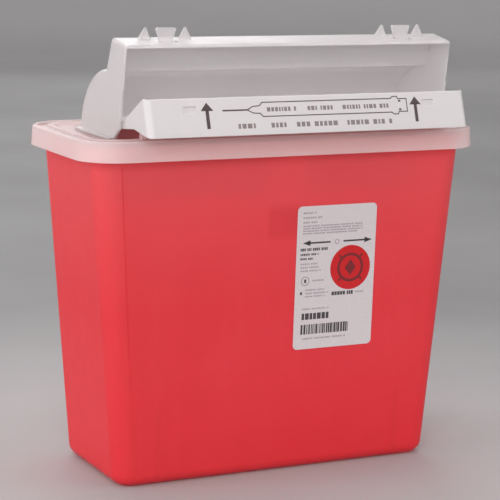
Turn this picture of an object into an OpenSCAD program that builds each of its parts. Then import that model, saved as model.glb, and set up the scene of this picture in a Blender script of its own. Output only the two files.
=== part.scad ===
// In-room sharps container: a tapered bin, a press-on lid with a hood, and a
// counterbalanced drop tray that two push-down tabs lock for disposal.
// Origin: on the resting face, on the lid's centre lines. +X right, +Y back, +Z up.

/* [Bin] */
// Height of the bin's visible wall, up to the skirt of the lid
bin_h = 205; // [190:1:230]
// Width of the bin at the bottom
bin_bottom_w = 220; // [205:1:235]
// Width of the bin where the skirt starts
bin_top_w = 254.6; // [245:0.1:255]
// Distance from the lid's centre line to the front wall at the bottom
bin_bottom_front = 43.9; // [38:0.1:48]
// Distance from the lid's centre line to the back wall at the bottom
bin_bottom_back = 49.6; // [44:0.1:51]
// Distance from the lid's centre line to both long walls where the skirt starts
bin_top_half_d = 51.2; // [50:0.1:51.4]
// Corner radius at the bottom
bin_bottom_r = 12; // [10:0.5:15]
// Corner radius where the skirt starts
bin_top_r = 15.5; // [12:0.5:18]
// Radius of the edge round the base
base_fillet = 8; // [4:0.5:10]
// Wall thickness of the bin
bin_wall = 1.8; // [1.2:0.1:2.2]

/* [Lid deck] */
// Width of the lid
lid_w = 273; // [270:0.5:280]
// Depth of the lid
lid_d = 120.6; // [118:0.1:126]
// Corner radius of the lid
lid_r = 25; // [20:0.5:28]
// Height of the skirt
skirt_h = 13; // [12:0.5:16]
// Wall thickness of the lid mouldings
lid_wall = 1.8; // [1.4:0.1:2.2]

/* [Hood] */
// Half of the hood's outer width
hood_half_w = 112.1; // [111.5:0.1:113]
// Radius of the hood's round back
hood_r = 43.5; // [42:0.5:44]
// Height of the hood's top edge at the back, above the rim
hood_back_h = 59.2; // [58:0.1:61]
// Height of the hood's top edge at the front, above the rim
hood_front_h = 55.6; // [54:0.1:57]

/* [Tray] */
// Half of the tray's outer width
tray_half_w = 108.5; // [106:0.1:108.8]
// Wall thickness of the tray
tray_wall = 1.8; // [1.4:0.1:2]
// Radius of the moulded pivot pins
pin_r = 2.5; // [2:0.1:3]
// Angle through which the tray lifts
tray_lift = 48; // [45:1:48]

/* [Lock tabs] */
// Distance of each lock tab from the middle of the hood
lock_x = 80.8; // [78:0.1:84]
// Travel of a lock tab when it is pushed down
lock_travel = 5.4; // [5:0.1:5.5]

/* [Label] */
// Width of the label
label_w = 56.4; // [40:0.5:60]
// Height of the label
label_h = 92.4; // [70:0.5:100]
// Distance of the label's middle from the middle of the bin
label_x = 35.2; // [-40:0.1:40]
// Height of the label's middle
label_z = 125.5; // [100:0.5:130]

/* [Hidden] */

red = "firebrick";
frost = "gainsboro";
white = "whitesmoke";

slice = 0.01;
gap = 0.1;
beyond = 150;
rim_z = bin_h + skirt_h;
bin_top_z = rim_z - 3.5;
floor_t = 2.2;

// Lid deck
border_w = 3;
plate_bottom = bin_top_z + gap;
plate_top = plate_bottom + lid_wall;
ridge_in = 14;
ridge_w = 4.5;
well_front = -46.5;
well_back = 19.5;
well_half_w = 109.4;
well_wall = 2.4;
well_bottom = 205.5;

// Pivot of the tray, and the centre of the hood's round back
pivot_y = -25;
pivot_z = rim_z - 6;
pin_gap = 0.05;
pin_end = 111.6;
hood_z = rim_z - 4;

// Lock tabs and the fins on each side of them
tab_y = -42;
tab_t = 2.2;
tab_top_w = 13.1;
tab_neck_w = 9.2;
tab_foot_w = 6.6;
tab_top = rim_z + 65.2;
tab_neck = rim_z + 58.6;
lock_bite = 0.85;
fin_top = rim_z + 65.4;
fin_x = 13.4;
fin_half_w = 4.5;
fin_back = -38.4;
fin_front = -41.6;
fin_lean = 0.5;
fin_tip_half_w = 0.6;
fin_tip_d = 0.9;
fin_sink = 0.8;
opening_side = 0.3;
opening_front = 3.5;
web_foot_half_w = 4.2;
web_tip_half_w = 1.5;

// ---------------------------------------------------------------- helpers

// Wall positions of the bin at height z
function taper(low, high, z) = low + (high - low) * z / bin_h;
function bin_half_w(z) = taper(bin_bottom_w, bin_top_w, z) / 2;
function bin_front(z) = -taper(bin_bottom_front, bin_top_half_d, z);
function bin_back(z) = taper(bin_bottom_back, bin_top_half_d, z);
function bin_corner(z) = taper(bin_bottom_r, bin_top_r, z);

// Points on an arc, counted from the +X direction
function arc(cx, cy, r, from, to, steps) =
    [for (i = [0:steps]) let (a = from + (to - from) * i / steps) [cx + r * cos(a), cy + r * sin(a)]];

// Thin level slice of the bin's outline at height z, drawn in by inset
module bin_slice(z, inset) {
    r = max(bin_corner(z) - inset, 1);
    x = bin_half_w(z) - inset - r;
    low = bin_front(z) + inset + r;
    high = bin_back(z) - inset - r;
    for (sx = [-1, 1], y = [low, high])
        translate([sx * x, y, z])
            cylinder(r = r, h = slice, $fn = 48);
}

// Closed form of the bin with a rounded base edge
module bin_form(inset, base, top, fillet) {
    steps = 6;
    hull() {
        for (i = [0:steps]) {
            a = 90 * i / steps;
            bin_slice(base + fillet * (1 - cos(a)), inset + fillet * (1 - sin(a)));
        }
        bin_slice(top - slice, inset);
    }
}

// Rounded rectangle, centred
module plan(w, d, r) {
    square([w - 2 * r, d], center = true);
    square([w, d - 2 * r], center = true);
    for (sx = [-1, 1], sy = [-1, 1])
        translate([sx * (w / 2 - r), sy * (d / 2 - r)])
            circle(r, $fn = 64);
}

// Runs a profile round a rounded rectangle; its x is measured from the outline
module around(w, d, r) {
    for (side = [0:3]) {
        along = side % 2 == 0 ? d : w;
        across = side % 2 == 0 ? w : d;
        rotate([0, 0, 90 * side]) {
            translate([across / 2, along / 2 - r, 0])
                rotate([90, 0, 0])
                    linear_extrude(along - 2 * r)
                        children();
            translate([across / 2 - r, along / 2 - r, 0])
                rotate_extrude(angle = 90, $fn = 96)
                    translate([r, 0])
                        children();
        }
    }
}

// Extrudes a side profile, drawn as [y, z], between two x positions
module side_profile(x0, x1) {
    translate([x0, 0, 0])
        rotate([90, 0, 90])
            linear_extrude(x1 - x0)
                children();
}

// ---------------------------------------------------------------- bin

bead_w = 2.6;
bead_h = 5;
rib_t = 2;
rib_depth = 7;
rib_x = 84;
rib_h = 46;
nest_rib_z = 152;
nest_rib_y = 30;
nest_rib_reach = 4;
catch_half_w = 13;
catch_z = 153;
catch_h = 19;
catch_t = 1.6;

// Ribs and pads that stand on the inside of the walls
module bin_ribs() {
    for (sx = [-1, 1]) {
        translate([sx * rib_x - rib_t / 2, bin_front(0) - 1, floor_t])
            cube([rib_t, rib_depth, rib_h]);
        translate([sx * rib_x - rib_t / 2, bin_back(0) - rib_depth + 2, floor_t])
            cube([rib_t, rib_depth, rib_h]);
        for (y = [-nest_rib_y, nest_rib_y])
            translate([sx * bin_half_w(nest_rib_z) - nest_rib_reach, y - rib_t / 2, nest_rib_z])
                cube([2 * nest_rib_reach, rib_t, bin_h - nest_rib_z - 5]);
    }
    translate([-catch_half_w, bin_front(catch_z) - 2, catch_z])
        cube([2 * catch_half_w, 2 + bin_wall + catch_t, catch_h]);
}

// Rolled bead round the mouth of the bin
module bin_bead() {
    z = bin_top_z;
    w = 2 * bin_half_w(z);
    d = bin_back(z) - bin_front(z);
    r = bin_corner(z) + bead_w;
    shift = (bin_back(z) + bin_front(z)) / 2;
    translate([0, shift, 0])
        around(w + 2 * bead_w, d + 2 * bead_w, r)
            polygon(concat([[-bead_w - 1, z - bead_h], [-bead_w, z - bead_h]],
                arc(-0.8, z - 0.8, 0.8, 0, 90, 3), [[-bead_w - 1, z]]));
}

module bin() {
    color(red) {
        difference() {
            bin_form(0, 0, bin_top_z, base_fillet);
            bin_form(bin_wall, floor_t, bin_top_z + 1, base_fillet - bin_wall);
        }
        intersection() {
            bin_form(bin_wall - 0.3, floor_t - 0.3, bin_top_z - 8, base_fillet - bin_wall + 0.3);
            bin_ribs();
        }
        bin_bead();
    }
}

// ---------------------------------------------------------------- label

label_t = 0.25;
label_r = 3;
label_gap = 0.02;

module label() {
    lean = atan2(bin_front(0) - bin_front(bin_h), bin_h);
    color(white)
        translate([label_x, bin_front(label_z), label_z])
            rotate([90 + lean, 0, 0])
                translate([0, 0, label_gap])
                    linear_extrude(label_t)
                        plan(label_w, label_h, label_r);
}

// ---------------------------------------------------------------- lid deck

skirt_wall = 2.2;
skirt_draft = 0.6;
border_round = 2;
tongue_half_w = 12.5;
tongue_z = 178;
stop_x = 98;
stop_w = 3;
stop_d = 4.5;
stop_h = 6.9;

// Section through the border of the lid and its skirt
module skirt_section() {
    polygon(concat(
        [[-skirt_wall, bin_h], [-0.4, bin_h], [0, bin_h + 0.4]],
        arc(-skirt_draft - border_round, rim_z - border_round, border_round, 0, 90, 6),
        arc(-border_w - 1.4 + 0.6, rim_z - 0.6, 0.6, 90, 180, 3),
        [[-border_w - 1.4, plate_bottom], [-skirt_wall - 0.4, plate_bottom]]));
}

// Raised ridge that runs round the deck
module ridge_section() {
    polygon(concat([[-ridge_w, plate_top - 0.5], [0, plate_top - 0.5]],
        arc(-1.6, rim_z - 1.2, 1.2, 0, 90, 4),
        arc(-ridge_w + 1.6, rim_z - 1.2, 1.2, 90, 180, 4)));
}

// Plate of the deck, and the walls of the well that the tray swings in
module deck_plate() {
    translate([0, 0, plate_bottom])
        linear_extrude(lid_wall)
            plan(lid_w - 2 * border_w, lid_d - 2 * border_w, lid_r - border_w);
    translate([-well_half_w - well_wall, well_front - lid_wall, well_bottom])
        cube([2 * (well_half_w + well_wall), well_back - well_front + 2 * lid_wall,
            plate_top - well_bottom]);
}

module lid_deck() {
    color(frost) {
        difference() {
            union() {
                deck_plate();
                around(lid_w - 2 * (ridge_in - ridge_w), lid_d - 2 * (ridge_in - ridge_w),
                    lid_r - ridge_in + ridge_w)
                    ridge_section();
            }
            translate([-well_half_w, well_front, well_bottom - 1])
                cube([2 * well_half_w, well_back - well_front, 20]);
            translate([0, pivot_y, pivot_z])
                rotate([0, 90, 0])
                    cylinder(r = pin_r + pin_gap, h = 2 * well_half_w + 20, center = true, $fn = 48);
        }
        around(lid_w, lid_d, lid_r)
            skirt_section();
        translate([-tongue_half_w, well_front - lid_wall, tongue_z])
            cube([2 * tongue_half_w, lid_wall, well_bottom - tongue_z + 1]);
        for (sx = [-1, 1])
            translate([sx * stop_x - stop_w / 2, well_front - stop_d - 0.5, rim_z - 1])
                cube([stop_w, stop_d, stop_h]);
    }
}

// ---------------------------------------------------------------- hood

edge_r = 2.2;
inner_r = 0.4;
foot_z = plate_top + 0.05;
foot_w = 2.5;
foot_t = 1.6;
hood_low = foot_z - 12;
hood_front_foot = -44;
hood_front_top = -53.9;
hood_back_top = -32.8;
hood_back_foot = -1.2;
relief = [[-60, 6.5], [-47, 6.5], [-34.5, -2.2], [-34.5, -10], [-60, -10]];
roof_slope = (hood_back_h - hood_front_h) / (hood_back_top - hood_front_top);
turret_outline = [[hood_front_foot, hood_low], [hood_front_top, rim_z + hood_front_h],
    [hood_back_top, rim_z + hood_back_h], [hood_back_foot, hood_low]];

// Height of the hood's roof at y
function roof_z(y) = rim_z + hood_front_h + roof_slope * (y - hood_front_top);

// Point at distance d inside the corner p of a clockwise outline, between a and b
function unit(v) = v / norm(v);
function right_of(v) = [v[1], -v[0]];
function inset_corner(a, p, b, d) =
    let (m = right_of(unit(p - a)), n = right_of(unit(b - p)))
    p + d * (m + n) / (1 + m * n);

// Upright part of the hood; inset draws its walls in, reach opens its front
module turret(inset, reach) {
    r = inset > 0 ? inner_r : edge_r;
    hull()
        for (i = [0:3]) {
            c = inset_corner(turret_outline[(i + 3) % 4], turret_outline[i],
                turret_outline[(i + 1) % 4], inset + r);
            for (sx = [-1, 1], ahead = i < 2 ? [0, reach] : [0])
                translate([sx * (hood_half_w - inset - r), c[0] - ahead,
                    c[1] - ahead * (i == 1 ? roof_slope : 0)])
                    sphere(r, $fn = 32);
        }
}

// Round back of the hood
module drum(inset) {
    r = inset > 0 ? inner_r : edge_r;
    hull()
        for (sx = [-1, 1])
            translate([sx * (hood_half_w - inset - r), pivot_y, hood_z])
                rotate([0, 90, 0])
                    rotate_extrude($fn = 96)
                        translate([hood_r - inset - r, 0])
                            circle(r, $fn = 24);
}

// Fin that guards a lock tab; its apex leans towards the tab at x = 0
module fin(side) {
    x = side * fin_x;
    lean = -fin_lean * side;
    low = roof_z(fin_front) - fin_sink;
    points = concat(
        [for (c = [[-1, 0], [1, 0], [1, 1], [-1, 1]])
            [x + c[0] * fin_half_w, c[1] > 0 ? fin_back : fin_front, low]],
        [for (c = [[-1, 0], [1, 0], [1, 1], [-1, 1]])
            [x + lean + c[0] * fin_tip_half_w, fin_front + fin_tip_d * c[1], fin_top]]);
    polyhedron(points, [[0, 1, 2, 3], [7, 6, 5, 4], [4, 5, 1, 0], [5, 6, 2, 1], [6, 7, 3, 2], [7, 4, 0, 3]]);
}

// Opening in the roof that a lock tab is pushed down through, and the web left in front of it
module tab_opening() {
    half_w = tab_top_w / 2 + opening_side;
    front = tab_y - tab_t / 2;
    translate([0, 0, rim_z + 50])
        linear_extrude(12)
            difference() {
                translate([-half_w, front - opening_front])
                    square([2 * half_w, tab_t + opening_front + opening_side]);
                polygon([[-web_foot_half_w, front - opening_side], [web_foot_half_w, front - opening_side],
                    [web_tip_half_w, front - 4], [-web_tip_half_w, front - 4]]);
            }
}

module hood() {
    front_lean = atan2(hood_front_foot - hood_front_top, rim_z + hood_front_h - foot_z);
    color(frost)
        difference() {
            union() {
                turret(0, 0);
                drum(0);
                translate([-hood_half_w - foot_w, hood_front_foot - 1, foot_z])
                    cube([2 * (hood_half_w + foot_w), pivot_y + hood_r + foot_w - hood_front_foot + 1,
                        foot_t]);
                for (sx = [-1, 1], side = [-1, 1])
                    translate([sx * lock_x, 0, 0])
                        fin(side);
            }
            turret(lid_wall, 30);
            drum(lid_wall);
            translate([0, hood_front_foot, foot_z])
                rotate([front_lean, 0, 0])
                    translate([-beyond, -60, -30])
                        cube([2 * beyond, 60, 120]);
            translate([-beyond, -beyond, foot_z - beyond])
                cube([2 * beyond, 2 * beyond, beyond]);
            side_profile(-beyond, beyond)
                translate([0, rim_z])
                    polygon(relief);
            for (sx = [-1, 1])
                translate([sx * lock_x, 0, 0])
                    tab_opening();
        }
}

// ---------------------------------------------------------------- tray

// Outline of the tray at rest, as [y, height above the rim]
flap_foot = [-84.1, 3.8];
flap_head = [-76.9, 25.4];
flap_r = 4.5;
flap_proud = 0.02;
floor_under = [[-83.4, 4.1], [-60, 7.6], [-37, 5.2], [-25, 4.8], [20, 4.8]];
blade_r = 39.8;
blade_low = -70;
bead_r = 2.4;
pin_disc_r = 7;
web_hole = [18, -12];
web_hole_r = 9;
pocket_half_w = 4.2;
pocket_depth = 1.1;
pocket_h = 4;

// Front wing in side view: flap, floor and the cheeks beside them
module wing_section() {
    polygon([flap_foot, flap_head, [-76.2, 26.1], [-72.8, 26.2], [-71.6, 25.6], [-43.6, 10.3],
        [-30, 8.6], [-20, 7.9], [12, 7.4], [12, 4.4], [-25, 4.4], [-37, 4.8], [-60, 7.2]]);
}

// Webs in side view: they carry the pins and close the ends of the blade
module web_section() {
    circle(pin_disc_r, $fn = 48);
    difference() {
        intersection() {
            circle(blade_r, $fn = 96);
            polygon([[-6, 12], [60, 12], [60, 60 * tan(blade_low)], [0, 0], [-6, 0]]);
        }
        translate(web_hole)
            circle(web_hole_r, $fn = 48);
    }
}

// Trough in side view: the room between the flap and the rear edge of the floor
module trough_section() {
    run = flap_head - flap_foot;
    side = [run[1], -run[0]] * tray_wall / norm(run);
    polygon(concat([flap_head + side + run, flap_foot + side + run * 0.12],
        [for (p = floor_under) if (p[0] > -80) p + [0, tray_wall]], [[40, 10], [40, 50]]));
}

// Room under the floor, in side view, inside the curve of the blade
module hollow_section() {
    difference() {
        union() {
            translate([pivot_y, pivot_z])
                circle(blade_r - tray_wall, $fn = 96);
            translate([-100, rim_z - 60])
                square([100 + pivot_y, 100]);
        }
        translate([0, rim_z])
            polygon(concat([[-120, floor_under[0][1]]], floor_under, [[20, 60], [-120, 60]]));
    }
}

// Bead along the lower edge of the blade, which weighs it
module blade_bead(half_w) {
    reach = blade_r - tray_wall / 2;
    translate([-half_w, pivot_y + reach * cos(blade_low), pivot_z + reach * sin(blade_low)])
        rotate([0, 90, 0])
            cylinder(r = bead_r, h = 2 * half_w, $fn = 48);
}

// Places children on the flap's face: x across, y into the face, z up from its foot
module on_flap(x) {
    run = flap_head - flap_foot;
    translate([x, flap_foot[0], rim_z + flap_foot[1]])
        rotate([-atan2(run[0], run[1]), 0, 0])
            children();
}

// What is cut away to round the flap's two upright corners; its arc stands a hair proud of the faces
module flap_corners() {
    in = flap_r - flap_proud;
    for (sx = [-1, 1])
        on_flap(sx * (tray_half_w - in))
            translate([0, in, -4])
                linear_extrude(norm(flap_head - flap_foot) + 8)
                    difference() {
                        translate([sx > 0 ? 0 : -flap_r - 1, -flap_r - 1])
                            square(flap_r + 1);
                        circle(flap_r, $fn = 64);
                    }
}

// Where a lock tab lands on the lifted flap, as a share of the flap's height
function turned(v, a) = [v[0] * cos(a) + v[1] * sin(a), v[1] * cos(a) - v[0] * sin(a)];
pivot_rel = [pivot_y, pivot_z - rim_z];
lifted_foot = pivot_rel + turned(flap_foot - pivot_rel, tray_lift);
lifted_run = turned(flap_head - flap_foot, tray_lift);
landing = (tab_y - lifted_foot[0]) / lifted_run[0];
lifted_slope = lifted_run[1] / lifted_run[0];
landing_z = rim_z + lifted_foot[1] + landing * lifted_run[1];

// Lower edge of a lock tab, so that its travel takes it that bite below the flap's face
tab_foot = landing_z - lifted_slope * tab_t / 2 + lock_travel - lock_bite;

// Pocket in the flap's face that a pushed lock tab drops into when the tray is up
module lock_pocket(x) {
    on_flap(x)
        translate([-pocket_half_w, -1, landing * norm(flap_head - flap_foot) - pocket_h / 2])
            cube([2 * pocket_half_w, 1 + pocket_depth, pocket_h]);
}

module tray() {
    inner = tray_half_w - tray_wall;
    color(white) {
        difference() {
            union() {
                side_profile(-tray_half_w, tray_half_w) {
                    translate([0, rim_z])
                        wing_section();
                    translate([pivot_y, pivot_z])
                        web_section();
                }
                for (sx = [-1, 1])
                    translate([sx * (tray_half_w + pin_end) / 2, pivot_y, pivot_z])
                        rotate([0, 90, 0])
                            cylinder(r = pin_r, h = pin_end - tray_half_w + 1, center = true, $fn = 48);
            }
            side_profile(-inner, inner)
                translate([0, rim_z])
                    trough_section();
            side_profile(-inner, inner)
                hollow_section();
            for (sx = [-1, 1])
                lock_pocket(sx * lock_x);
            flap_corners();
        }
        blade_bead(inner + 0.6);
    }
}

// ---------------------------------------------------------------- lock tabs

// The foot is cut parallel to the lifted flap
module lock_tab(x) {
    side = [[tab_foot_w / 2, tab_foot], [tab_neck_w / 2, tab_neck], [tab_top_w / 2, tab_top - 0.8],
        [tab_top_w / 2 - 0.8, tab_top]];
    color(frost)
        difference() {
            translate([x, tab_y + tab_t / 2, 0])
                rotate([90, 0, 0])
                    linear_extrude(tab_t)
                        polygon(concat(side, [for (i = [3:-1:0]) [-side[i][0], side[i][1]]]));
            translate([x, tab_y - tab_t / 2, tab_foot])
                rotate([atan(lifted_slope), 0, 0])
                    translate([-10, -5, -5])
                        cube([20, 15, 5]);
        }
}

module lock_tab_left() {
    lock_tab(-lock_x);
}

module lock_tab_right() {
    lock_tab(lock_x);
}

bin();
label();
lid_deck();
hood();
tray();
lock_tab_left();
lock_tab_right();
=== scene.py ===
"""Looks of the sharps container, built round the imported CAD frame."""

import math
import random

import bmesh
import bpy
from mathutils import Matrix, Vector


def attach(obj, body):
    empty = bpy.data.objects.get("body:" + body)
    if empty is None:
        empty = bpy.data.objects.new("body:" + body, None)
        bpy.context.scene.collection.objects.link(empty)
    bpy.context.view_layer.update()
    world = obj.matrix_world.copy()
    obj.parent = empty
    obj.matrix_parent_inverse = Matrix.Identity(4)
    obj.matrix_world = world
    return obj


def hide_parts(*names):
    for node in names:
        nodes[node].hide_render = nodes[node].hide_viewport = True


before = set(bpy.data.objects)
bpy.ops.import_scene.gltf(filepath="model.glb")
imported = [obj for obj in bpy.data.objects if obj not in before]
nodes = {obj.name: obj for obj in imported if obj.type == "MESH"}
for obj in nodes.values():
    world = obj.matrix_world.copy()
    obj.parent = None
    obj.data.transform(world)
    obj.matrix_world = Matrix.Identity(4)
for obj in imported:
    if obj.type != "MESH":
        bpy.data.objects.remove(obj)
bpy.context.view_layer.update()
MM = 0.001

# ------------------------------------------------------------------ camera

YAW, PITCH, ROLL = (math.radians(a) for a in (26.233, 10.170, 1.103))
CAMERA_AT = Vector((-0.54291, -1.10199, 0.35664))
SENSOR_MM, LENS_MM, SHIFT_X = 36, 138.75, -0.004
look = Vector((math.sin(YAW) * math.cos(PITCH), math.cos(YAW) * math.cos(PITCH), -math.sin(PITCH)))
level = Vector((math.cos(YAW), -math.sin(YAW), 0))
above = level.cross(look)
cam_x = level * math.cos(ROLL) + above * math.sin(ROLL)
cam_y = above * math.cos(ROLL) - level * math.sin(ROLL)
camera = bpy.data.objects.new("camera", bpy.data.cameras.new("camera"))
bpy.context.scene.collection.objects.link(camera)
camera.matrix_world = Matrix((
    (cam_x.x, cam_y.x, -look.x, CAMERA_AT.x),
    (cam_x.y, cam_y.y, -look.y, CAMERA_AT.y),
    (cam_x.z, cam_y.z, -look.z, CAMERA_AT.z),
    (0, 0, 0, 1),
))
camera.data.sensor_width = SENSOR_MM
camera.data.lens = LENS_MM
camera.data.shift_x = SHIFT_X
camera.data.clip_start = 0.02
camera.data.clip_end = 60
bpy.context.scene.camera = camera

# ------------------------------------------------------------------ light

scene = bpy.context.scene
scene.view_settings.view_transform = "Standard"
world = bpy.data.worlds.new("studio")
scene.world = world
world.use_nodes = True
sky = world.node_tree.nodes["Background"].inputs
sky["Color"].default_value = (0.93, 0.91, 0.92, 1)
sky["Strength"].default_value = 0.66


def area_light(name, place, target, size, power):
    """A white rectangular lamp at place, facing target, all in metres, with its power in watts."""
    data = bpy.data.lights.new(name, "AREA")
    data.shape = "RECTANGLE"
    data.size, data.size_y = size
    data.energy = power
    lamp = bpy.data.objects.new(name, data)
    scene.collection.objects.link(lamp)
    lamp.location = place
    lamp.rotation_mode = "QUATERNION"
    lamp.rotation_quaternion = (Vector(target) - Vector(place)).to_track_quat("-Z", "Y")


area_light("key", (-1.7, -2.7, 1.35), (0, 0, 0.12), (2.0, 1.8), 62)
area_light("left", (-2.8, 0.1, 1.0), (0, 0, 0.15), (1.6, 1.4), 34)
area_light("top", (0.1, 0.3, 2.3), (0, 0, 0.1), (1.6, 1.4), 8)
area_light("fill", (2.3, -1.6, 0.9), (0, 0, 0.15), (1.6, 1.4), 14)
area_light("rear", (0.4, 2.4, 1.2), (0, 0, 0.2), (1.8, 1.2), 20)


# ------------------------------------------------------------------ materials


class Shader:
    """A Principled material with helpers that add texture nodes in object coordinates."""

    def __init__(self, name, **sockets):
        self.material = bpy.data.materials.new(name)
        self.material.use_nodes = True
        self.tree = self.material.node_tree
        self.bsdf = self.tree.nodes["Principled BSDF"]
        for socket, value in sockets.items():
            self.bsdf.inputs[socket.replace("_", " ")].default_value = value
        self.coords = self.tree.nodes.new("ShaderNodeTexCoord").outputs["Object"]
        self.normal = None

    def node(self, kind, inputs=None, **settings):
        n = self.tree.nodes.new("ShaderNode" + kind)
        for key, value in settings.items():
            setattr(n, key, value)
        for key, value in (inputs or {}).items():
            if isinstance(value, bpy.types.NodeSocket):
                self.tree.links.new(value, n.inputs[key])
            else:
                n.inputs[key].default_value = value
        return n

    def noise(self, scale, detail=3.0, stretch=(1, 1, 1)):
        """Noise of that many features a metre, its value about 0.3 to 0.7."""
        placed = self.node("Mapping", {"Vector": self.coords, "Scale": stretch})
        return self.node("TexNoise", {
            "Vector": placed.outputs[0], "Scale": scale, "Detail": detail, "Roughness": 0.55,
        }).outputs["Fac"]

    def spread(self, value, low, high, start=0.3, end=0.7):
        """Maps value from start..end to low..high."""
        return self.node("MapRange", {
            "Value": value, "From Min": start, "From Max": end, "To Min": low, "To Max": high,
        }).outputs[0]

    def mix(self, factor, a, b):
        """Blends the colours a and b; the result is a where factor is 0 and b where it is 1."""
        return self.node("Mix", {0: factor, 6: a, 7: b}, data_type="RGBA").outputs[2]

    def times(self, a, b):
        return self.node("Math", {0: a, 1: b}, operation="MULTIPLY").outputs[0]

    def within(self, value, low, high, soft):
        """1 between low and high, with soft edges, and 0 outside them."""
        rise = self.spread(value, 0, 1, low - soft, low + soft)
        fall = self.spread(value, 1, 0, high - soft, high + soft)
        return self.times(rise, fall)

    def bump(self, height, distance, strength=1.0):
        inputs = {"Height": height, "Distance": distance, "Strength": strength}
        if self.normal is not None:
            inputs["Normal"] = self.normal
        self.normal = self.node("Bump", inputs).outputs[0]

    def drive(self, socket, value):
        self.tree.links.new(value, self.bsdf.inputs[socket])

    def done(self):
        if self.normal is not None:
            self.drive("Normal", self.normal)
        return self.material


# Sizes of the plastic's patterns, in features a metre
DRIFT, STREAKS, GLOSS, SCUFFS, GRAIN, WAVES = 14, 130, 60, 420, 1600, 45
WAVE_MM = 0.25


def plastic(name, light, dark, rough, grain_mm, light_paint=None, **sockets):
    """Moulded plastic: drifting tint, upright flow streaks, uneven gloss, scuffs and a fine grain."""
    s = Shader(name, **sockets)
    colour = s.mix(s.spread(s.noise(DRIFT, 4), 0, 1), light, dark)
    colour = s.mix(s.spread(s.noise(STREAKS, 3, (1, 1, 0.05)), 0, 0.6), colour, dark)
    # light_paint, when given, paints light and shade into the colour
    if light_paint:
        colour = light_paint(s, colour)
    s.drive("Base Color", colour)
    gloss = s.spread(s.noise(GLOSS, 5, (1, 1, 0.35)), rough[0], rough[1])
    scuffs = s.spread(s.noise(SCUFFS, 5, (1, 0.3, 0.12)), 0, 0.09, 0.56, 0.68)
    s.drive("Roughness", s.node("Math", {0: gloss, 1: scuffs}, operation="ADD").outputs[0])
    s.bump(s.noise(GRAIN, 2), grain_mm * MM, 0.35)
    s.bump(s.noise(WAVES, 3, (1, 1, 0.4)), WAVE_MM * MM, 0.2)
    return s.done()


# The bin's wall, in metres: the heights over which painted light makes it paler towards the mouth and
# painted shade makes it deeper at the base, each with the most that the paint takes, and where the front
# wall ends
PAINTED_LIGHT, PAINTED_LIGHT_Z, PAINTED_LIGHT_MOST = (0.97, 0.190, 0.205, 1), (0.11, 0.20), 0.62
PAINTED_SHADE, PAINTED_SHADE_Z, PAINTED_SHADE_MOST = (0.86, 0.045, 0.060, 1), (0.004, 0.075), 0.55
FRONT_Y = (-0.042, -0.036)

# The catch pad and the two ribs that back the front wall: middle and half width in x, foot and head in z
BACKED = ((0, 0.013, 0.153, 0.172), (-0.084, 0.001, 0.004, 0.048), (0.084, 0.001, 0.004, 0.048))
# Painted shade where they show through the wall: its colour, and the most that it takes
BACKED_SHADE, BACKED_SHADE_MOST = (0.74, 0.060, 0.075, 1), 0.40
BLUR_X, BLUR_Z = 0.0016, 0.0030


def wall_light_and_shade(s, colour):
    """Painted light towards the mouth, and painted shade towards the base and where a pad or rib backs
    the wall.
    """
    split = s.node("SeparateXYZ", {0: s.coords}).outputs
    x, y, z = split[0], split[1], split[2]
    # Painted light, paler towards the mouth, and painted shade, deeper towards the base
    colour = s.mix(s.spread(z, 0, PAINTED_LIGHT_MOST, *PAINTED_LIGHT_Z), colour, PAINTED_LIGHT)
    colour = s.mix(s.spread(z, PAINTED_SHADE_MOST, 0, *PAINTED_SHADE_Z), colour, PAINTED_SHADE)
    front = s.spread(y, 1, 0, *FRONT_Y)
    # Painted shade where a pad or rib shows through the front wall
    for middle, half, foot, head in BACKED:
        across = s.within(x, middle - half, middle + half, BLUR_X)
        shade_patch = s.times(s.times(across, s.within(z, foot, head, BLUR_Z)), front)
        colour = s.mix(s.times(shade_patch, BACKED_SHADE_MOST), colour, BACKED_SHADE)
    return colour


# The painted shade on the deck's top, and the upward part of the normal over which it comes in
DECK_TOP_SHADE, FACES_UP = (0.55, 0.48, 0.475, 1), (0.80, 0.97)


def deck_top_shade(s, colour):
    """Painted shade, duller on top, where the thin deck has only the shaded inside of the bin behind it.
    """
    facing = s.node("TexCoord").outputs["Normal"]
    up = s.node("SeparateXYZ", {0: facing}).outputs[2]
    return s.mix(s.spread(up, 0, 1, *FACES_UP), colour, DECK_TOP_SHADE)


# The weak emission of red and frost_lid stands in for light that comes through their thin walls
red = plastic(
    "bin_red", (0.91, 0.098, 0.118, 1), (0.88, 0.076, 0.094, 1), (0.28, 0.38), 0.008, wall_light_and_shade,
    Transmission_Weight=0.46, IOR=1.18, Specular_IOR_Level=0.35,
    Emission_Color=(0.90, 0.055, 0.075, 1), Emission_Strength=0.055,
)
frost_lid = plastic(
    "lid_frost", (0.99, 0.92, 0.915, 1), (0.97, 0.89, 0.888, 1), (0.32, 0.42), 0.008, deck_top_shade,
    Transmission_Weight=0.58, IOR=1.20, Specular_IOR_Level=0.25,
    Emission_Color=(1.0, 0.28, 0.25, 1), Emission_Strength=0.04,
)
frost_hood = plastic(
    "hood_frost", (0.97, 0.94, 0.942, 1), (0.94, 0.905, 0.908, 1), (0.30, 0.40), 0.008,
    Transmission_Weight=0.62, IOR=1.20, Specular_IOR_Level=0.4,
)
white = plastic(
    "tray_white", (0.88, 0.835, 0.838, 1), (0.83, 0.79, 0.793, 1), (0.38, 0.52), 0.012,
    Transmission_Weight=0.22, IOR=1.40, Specular_IOR_Level=0.4,
)


def film(name, light, dark, rough):
    """Printed film or paper: faint fibre mottling and a dull, uneven gloss."""
    s = Shader(name, IOR=1.5)
    s.drive("Base Color", s.mix(s.spread(s.noise(900, 4), 0, 1), light, dark))
    s.drive("Roughness", s.spread(s.noise(220, 4), rough[0], rough[1]))
    s.bump(s.noise(700, 3), 0.01 * MM, 0.5)
    return s.done()


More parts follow.
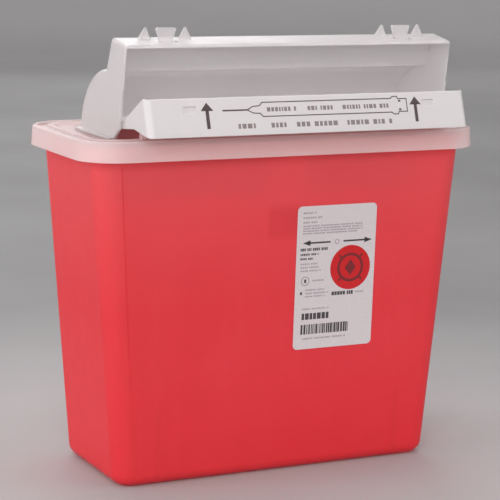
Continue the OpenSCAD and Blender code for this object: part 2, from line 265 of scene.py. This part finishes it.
paper = film("label_film", (0.72, 0.66, 0.67, 1), (0.65, 0.59, 0.60, 1), (0.34, 0.48))
ink_black = film("ink_black", (0.035, 0.03, 0.035, 1), (0.09, 0.08, 0.085, 1), (0.40, 0.60))
ink_grey = film("ink_grey", (0.36, 0.31, 0.34, 1), (0.46, 0.40, 0.43, 1), (0.42, 0.60))
ink_red = film("ink_red", (0.66, 0.012, 0.016, 1), (0.56, 0.008, 0.012, 1), (0.34, 0.50))
ink_dark_red = film("ink_dark_red", (0.17, 0.012, 0.016, 1), (0.23, 0.02, 0.024, 1), (0.38, 0.56))
ink_faded = film("ink_faded", (0.20, 0.16, 0.16, 1), (0.31, 0.26, 0.26, 1), (0.42, 0.60))
ink_flap = film("ink_flap", (0.05, 0.03, 0.03, 1), (0.12, 0.085, 0.085, 1), (0.42, 0.60))

# ------------------------------------------------------------------ mouldings

# Points nearer than WELD metres are one; edges over the first angle are softened, and edges under
# the second are shaded smooth
WELD = 5e-7
BEVEL_OVER, SHARP_OVER = math.radians(32), math.radians(40)


def moulding(node, body, material, soften_mm):
    """A copy of a CAD node with softened edges and even shading; it stands for the node."""
    source = nodes[node].data
    bm = bmesh.new()
    corners = [bm.verts.new(v.co) for v in source.vertices]
    for polygon in source.polygons:
        bm.faces.new([corners[i] for i in polygon.vertices])
    bmesh.ops.remove_doubles(bm, verts=bm.verts, dist=WELD)
    bmesh.ops.dissolve_degenerate(bm, edges=bm.edges, dist=WELD)
    sharp = [e for e in bm.edges if len(e.link_faces) == 2 and e.calc_face_angle() > BEVEL_OVER]
    bmesh.ops.bevel(bm, geom=sharp, offset=soften_mm * MM, offset_type="OFFSET", segments=2,
                    profile=0.5, affect="EDGES", clamp_overlap=False)
    bmesh.ops.remove_doubles(bm, verts=bm.verts, dist=WELD)
    bmesh.ops.triangulate(bm, faces=[f for f in bm.faces if len(f.verts) > 4])
    for f in bm.faces:
        f.smooth = True
    for e in bm.edges:
        e.smooth = len(e.link_faces) == 2 and e.calc_face_angle() < SHARP_OVER
    data = bpy.data.meshes.new(node + "_moulding")
    bm.to_mesh(data)
    bm.free()
    piece = bpy.data.objects.new(node + "_moulding", data)
    scene.collection.objects.link(piece)
    even = piece.modifiers.new("even", "WEIGHTED_NORMAL")
    even.keep_sharp = True
    data.materials.append(material)
    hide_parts(node)
    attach(piece, body)


SOFT_MM, TRAY_SOFT_MM = 0.3, 0.35
moulding("bin", "bin", red, SOFT_MM)
moulding("lid_deck", "lid", frost_lid, SOFT_MM)
moulding("hood", "lid", frost_hood, SOFT_MM)
moulding("tray", "tray", white, TRAY_SOFT_MM)
for side in ("left", "right"):
    moulding("lock_tab_" + side, "lock_" + side, frost_hood, SOFT_MM)
nodes["label"].data.materials.clear()
nodes["label"].data.materials.append(paper)

# ------------------------------------------------------------------ floor

FLOOR_R, SWEEP_R, BACKDROP_H = 5.0, 1.5, 4.0
FLAT_RINGS = (0.0, 1.0, 2.5)
SWEEP_STEPS, FLOOR_TURNS = 12, 72

# The floor's painted light and shade, set against how the lamps fall on it: its tone under the object,
# and then the radii over which it turns into each next tone
FLOOR_NEAR_PAINT = (0.43, 0.414, 0.416, 1)
FLOOR_PAINTED_RINGS = (
    (0.2, 0.5, (0.245, 0.241, 0.242, 1)),
    (0.9, 1.5, (0.205, 0.202, 0.203, 1)),
    (2.3, 3.0, (0.42, 0.414, 0.416, 1)),
    (3.0, 4.8, (0.55, 0.54, 0.545, 1)),
)


def floor_sheet():
    """A level floor that sweeps up into a plain backdrop all round."""
    rings = [(r, 0.0) for r in FLAT_RINGS]
    for i in range(SWEEP_STEPS + 1):
        a = math.radians(90 * i / SWEEP_STEPS)
        rings.append((FLOOR_R - SWEEP_R + SWEEP_R * math.sin(a), SWEEP_R * (1 - math.cos(a))))
    rings.append((FLOOR_R, BACKDROP_H))
    bm = bmesh.new()
    turns = FLOOR_TURNS
    loops = []
    for r, z in rings:
        if r == 0:
            loops.append([bm.verts.new((0, 0, z))])
            continue
        loops.append([bm.verts.new((r * math.cos(t), r * math.sin(t), z))
                      for t in (2 * math.pi * k / turns for k in range(turns))])
    for inner, outer in zip(loops, loops[1:]):
        for k in range(turns):
            n = (k + 1) % turns
            if len(inner) == 1:
                bm.faces.new((inner[0], outer[k], outer[n]))
            else:
                bm.faces.new((inner[k], outer[k], outer[n], inner[n]))
    for f in bm.faces:
        f.smooth = True
    data = bpy.data.meshes.new("floor")
    bm.to_mesh(data)
    bm.free()
    data.update()
    sheet = bpy.data.objects.new("floor", data)
    scene.collection.objects.link(sheet)
    s = Shader("floor_pale", Roughness=0.85)
    radius = s.node("VectorMath", {0: s.coords}, operation="LENGTH").outputs["Value"]
    colour = FLOOR_NEAR_PAINT
    # Painted light and shade in rings round the object, set against how the lamps fall on the floor
    for start, end, ring_paint in FLOOR_PAINTED_RINGS:
        colour = s.mix(s.spread(radius, 0, 1, start, end), colour, ring_paint)
    s.drive("Base Color", s.mix(s.spread(s.noise(3, 3), 0, 0.06), colour, (1, 1, 1, 1)))
    s.bump(s.noise(500, 2), 0.02 * MM, 0.3)
    data.materials.append(s.done())


floor_sheet()

# ------------------------------------------------------------------ prints

rng = random.Random(7)
PRINT_WELD = 1e-7
FILM_MM = 0.02

# A word's fewest and most blocks, and the space after it as a multiple of the gap between blocks
WORD, SPACE = (3, 7), 2.5


def rect(x0, y0, x1, y1):
    return [(x0, y0), (x1, y0), (x1, y1), (x0, y1)]


def round_spot(cx, cy, r, steps=48):
    return [(cx + r * math.cos(2 * math.pi * k / steps), cy + r * math.sin(2 * math.pi * k / steps))
            for k in range(steps)]


def ring(cx, cy, inner, outer, steps=48):
    a, b = round_spot(cx, cy, inner, steps), round_spot(cx, cy, outer, steps)
    return [[a[k], b[k], b[(k + 1) % steps], a[(k + 1) % steps]] for k in range(steps)]


def stroke(points, width):
    """An open line of that width as one quad a stretch, with mitred corners."""
    pts = [Vector(p) for p in points]
    sides = []
    for k, p in enumerate(pts):
        before = (p - pts[k - 1]).normalized() if k else (pts[1] - p).normalized()
        after = (pts[k + 1] - p).normalized() if k + 1 < len(pts) else before
        way = (before + after).normalized()
        across = Vector((-way.y, way.x))
        reach = width / 2 / max(0.5, across.dot(Vector((-after.y, after.x))))
        sides.append((p + across * reach, p - across * reach))
    return [[a[0], a[1], b[1], b[0]] for a, b in zip(sides, sides[1:])]


def word_row(x0, x1, y0, y1, letters):
    """A row of plain blocks that stands for a line of words."""
    narrow, wide, gap = letters
    out = []
    x = x0
    run = rng.randint(*WORD)
    while x < x1 - narrow:
        w = min(rng.uniform(narrow, wide), x1 - x)
        out.append(rect(x, y0, x + w, y1))
        x += w + gap
        run -= 1
        if run == 0:
            x += gap * SPACE
            run = rng.randint(*WORD)
    return out


def print_piece(name, outlines, place, height, body, material):
    """Flat outlines in mm, laid on the plane place and given the thickness of an ink film."""
    bm = bmesh.new()
    for outline in outlines:
        verts = [bm.verts.new((x * MM, y * MM, height * MM)) for x, y in outline]
        bm.faces.new(verts)
    bmesh.ops.remove_doubles(bm, verts=bm.verts, dist=PRINT_WELD)
    bmesh.ops.recalc_face_normals(bm, faces=bm.faces)
    for f in bm.faces:
        if f.normal.z < 0:
            f.normal_flip()
    bmesh.ops.triangulate(bm, faces=[f for f in bm.faces if len(f.verts) > 4])
    data = bpy.data.meshes.new(name)
    bm.to_mesh(data)
    bm.free()
    data.transform(place)
    piece = bpy.data.objects.new(name, data)
    scene.collection.objects.link(piece)
    thick = piece.modifiers.new("film", "SOLIDIFY")
    thick.thickness = FILM_MM * MM
    thick.offset = -1
    data.materials.append(material)
    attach(piece, body)


def plane(origin, right, up):
    """Placing matrix of a plane, from its origin in mm and its directions across and up."""
    x, y = Vector(right).normalized(), Vector(up).normalized()
    z = x.cross(y)
    o = Vector(origin) * MM
    return Matrix(((x.x, y.x, z.x, o.x), (x.y, y.y, z.y, o.y), (x.z, y.z, z.z, o.z), (0, 0, 0, 1)))


# The label: its middle on the bin's front wall, the wall's lean, and its marks in mm from that middle
LABEL_AT = (35.2, -48.369, 125.5)
LEAN = math.atan2(7.3, 205)
label_at = plane(LABEL_AT, (1, 0, 0), (0, -math.sin(LEAN), math.cos(LEAN)))
# Heights of the inks over that wall, in mm, and of the mark on the disc
LABEL_TOP, MARK_TOP = 0.30, 0.33

# Blocks of a row, in mm: the narrowest, the widest and the gap between two
TITLE, FINE, BOLD, BODY = (0.8, 1.5, 0.35), (0.9, 2.2, 0.25), (0.6, 1.1, 0.3), (0.7, 1.3, 0.3)
CAPTION, ASIDE, CODE, FOOTER = (1.0, 1.9, 0.35), (0.9, 1.6, 0.35), (1.8, 2.8, 0.6), (0.9, 1.8, 0.35)

# Rows above the bars: the ink, the two ends, the foot and the head, and the blocks
LABEL_ROWS = (
    ("grey", -24.3, -14.5, 41.2, 42.4, TITLE),
    ("grey", -24.3, -11.0, 38.2, 39.4, TITLE),
    ("grey", -24.2, -13.0, 35.2, 36.4, TITLE),
    ("grey", -24.2, 18.8, 33.0, 33.9, FINE),
    ("grey", -24.2, 18.8, 31.4, 32.3, FINE),
    ("grey", -24.2, 18.8, 29.8, 30.7, FINE),
    ("grey", -24.2, 15.0, 28.2, 29.1, FINE),
    ("black", -25.4, -4.8, 17.5, 19.3, BODY),
    ("black", -25.3, -12.6, 14.6, 15.9, BOLD),
    ("black", -25.3, -16.5, 11.8, 13.1, BOLD),
    ("grey", -25.0, -13.0, 8.6, 9.6, BODY),
    ("grey", -25.0, -12.0, 6.4, 7.4, BODY),
    ("grey", -25.0, -10.0, 4.2, 5.2, BODY),
    ("grey", -16.0, -8.0, -2.4, -1.3, BODY),
    ("grey", -21.0, -7.0, -8.3, -7.3, BODY),
    ("grey", -21.0, -4.5, -10.4, -9.4, BODY),
    ("grey", -21.0, -6.0, -12.5, -11.5, BODY),
    ("black", -2.0, 13.5, -12.4, -10.0, CAPTION),
    ("grey", 15.0, 21.5, -11.6, -10.6, ASIDE),
    ("grey", -22.8, -3.0, -20.6, -19.6, TITLE),
    ("black", -22.8, -2.0, -27.0, -22.9, CODE),
)
LAST_ROW = (-21.8, 9.5, -40.0, -38.9, FOOTER)

# The bars: their ends, foot and head, and the widths and gaps they are drawn from
BARS_X, BARS_Y = (-23.2, 10.6), (-36.6, -30.2)
BAR_WIDTHS, BAR_GAPS = (0.35, 0.7, 1.05, 1.4), (0.35, 0.5, 0.7)

# The two arrows that point apart: tip and inner end of each, and their height; head and shaft sizes
LABEL_ARROWS, LABEL_ARROW_Y = ((-24.0, -4.2), (25.6, 5.0)), 22.55
HEAD_LONG, HEAD_HALF, SHAFT_IN, SHAFT_HALF = 5.4, 1.85, 3.0, 0.55

# The small ring between the arrows, the ring with a bar in it, and the small square mark
DOT_AT, DOT_R = (0.4, 22.5), (1.1, 1.7)
BADGE_AT, BADGE_R, BADGE_BAR = (-21.3, -1.9), (2.4, 3.1), (-22.0, -3.1, -20.6, -0.7)
SQUARE = (-24.6, -10.6, -23.2, -8.8)

# The disc, and on it a ring, a diamond and four ticks
DISC_X, DISC_Y, DISC_R = 10.7, 5.2, 14.4
RING_R, DIAMOND, TICK_R, TICK_W = (7.6, 9.4), (4.0, 5.2), 11.8, 1.4


def bars():
    """Upright bars of random widths; they hold no code."""
    out = []
    x = BARS_X[0]
    while x < BARS_X[1]:
        w = rng.choice(BAR_WIDTHS)
        out.append(rect(x, BARS_Y[0], x + w, BARS_Y[1]))
        x += w + rng.choice(BAR_GAPS)
    return out


def label_arrow(tip, tail):
    """A level arrow on the label from tail to tip: its shaft and its head."""
    way = math.copysign(1, tip)
    neck = tip - way * SHAFT_IN
    base = tip - way * HEAD_LONG
    shaft = rect(min(tail, neck), LABEL_ARROW_Y - SHAFT_HALF, max(tail, neck), LABEL_ARROW_Y + SHAFT_HALF)
    head = [(tip, LABEL_ARROW_Y), (base, LABEL_ARROW_Y + HEAD_HALF), (base, LABEL_ARROW_Y - HEAD_HALF)]
    return [shaft, head]


def disc_marks():
    """The generic mark on the disc: a ring, a diamond in it and four slanted ticks out of it."""
    out = ring(DISC_X, DISC_Y, *RING_R)
    half_w, half_h = DIAMOND
    out.append([(DISC_X, DISC_Y + half_h), (DISC_X - half_w, DISC_Y),
                (DISC_X, DISC_Y - half_h), (DISC_X + half_w, DISC_Y)])
    for k in range(4):
        a = math.radians(45 + 90 * k)
        ends = [(DISC_X + r * math.cos(a), DISC_Y + r * math.sin(a)) for r in (RING_R[1], TICK_R)]
        out += stroke(ends, TICK_W)
    return out


def label_prints():
    inks = {"black": [], "grey": []}
    for ink, x0, x1, y0, y1, letters in LABEL_ROWS:
        inks[ink] += word_row(x0, x1, y0, y1, letters)
    inks["black"] += bars()
    inks["grey"] += word_row(*LAST_ROW)
    for tip, tail in LABEL_ARROWS:
        inks["black"] += label_arrow(tip, tail)
    inks["black"] += [rect(*BADGE_BAR), rect(*SQUARE)]
    inks["grey"] += ring(*DOT_AT, *DOT_R, 24) + ring(*BADGE_AT, *BADGE_R, 36)
    disc = [round_spot(DISC_X, DISC_Y, DISC_R, 72)]
    print_piece("label_ink_black", inks["black"], label_at, LABEL_TOP, "bin", ink_black)
    print_piece("label_ink_grey", inks["grey"], label_at, LABEL_TOP, "bin", ink_grey)
    print_piece("label_disc", disc, label_at, LABEL_TOP, "bin", ink_red)
    print_piece("label_disc_mark", disc_marks(), label_at, MARK_TOP, "bin", ink_dark_red)


label_prints()

# The flap: the middle of its face's foot, the way up its face, and its marks in mm from there
FLAP_AT = (0, -84.1, 221.8)
FLAP_UP = (0, 7.2, 21.6)
flap_at = plane(FLAP_AT, (1, 0, 0), FLAP_UP)
FLAP_TOP = 0.04

# The two upright arrows: their middles in x; shaft foot, head and half width; tip and its half width
UP_ARROWS_X = (-70.0, 71.6)
UP_SHAFT, UP_SHAFT_HALF, UP_HEAD, UP_HEAD_HALF = (5.0, 16.6), 1.1, (15.8, 20.8), 4.1

# The syringe, lying level: its axis height, its needle, and half its outline as x and distance out
AXIS, LINE, NEEDLE_W, NEEDLE_X = 15.7, 0.62, 0.9, (-60.0, -43.5)
HALF_OUTLINE = (
    (-43.5, 0.15), (-40.0, 2.0), (-35.5, 2.3), (-33.6, 4.3), (54.5, 4.3),
    (56.0, 5.5), (59.0, 5.5), (59.6, 4.0), (65.6, 4.0),
)
THUMB_X, THUMB_HALF = 65.6, 4.3
STUB_X, STUB_OUT, STUB_W = (59.8, 61.4), 2.7, 1.2

# The rows of blocks: the ends of each word group, its foot and head, and the blocks
FLAP_ROWS = (
    (((-30.8, -10.2), (-3.5, 15.0), (20.5, 52.5)), 14.3, 16.9, (0.9, 2.4, 0.7)),
    (((-50.8, -36.5), (-29.0, -19.0), (-12.0, 16.5), (22.5, 55.0)), 4.5, 7.4, (1.2, 3.0, 0.9)),
)


def up_arrow(x):
    """An upright arrow on the flap: its shaft and its head."""
    foot, tip = UP_HEAD
    shaft = rect(x - UP_SHAFT_HALF, UP_SHAFT[0], x + UP_SHAFT_HALF, UP_SHAFT[1])
    return [shaft, [(x - UP_HEAD_HALF, foot), (x + UP_HEAD_HALF, foot), (x, tip)]]


def syringe():
    """A plain line drawing of a syringe that lies level with its needle to the left."""
    out = stroke([(x, AXIS) for x in NEEDLE_X], NEEDLE_W)
    for side in (-1, 1):
        out += stroke([(x, AXIS + away * side) for x, away in HALF_OUTLINE], LINE)
        out += stroke([(x, AXIS + STUB_OUT * side) for x in STUB_X], STUB_W)
    out += stroke([(THUMB_X, AXIS + THUMB_HALF), (THUMB_X, AXIS - THUMB_HALF)], LINE)
    return out


def flap_prints():
    marks = syringe()
    for x in UP_ARROWS_X:
        marks += up_arrow(x)
    rows = []
    for groups, foot, head, letters in FLAP_ROWS:
        for x0, x1 in groups:
            rows += word_row(x0, x1, foot, head, letters)
    print_piece("flap_print", marks, flap_at, FLAP_TOP, "tray", ink_flap)
    print_piece("flap_rows", rows, flap_at, FLAP_TOP, "tray", ink_faded)


flap_prints()
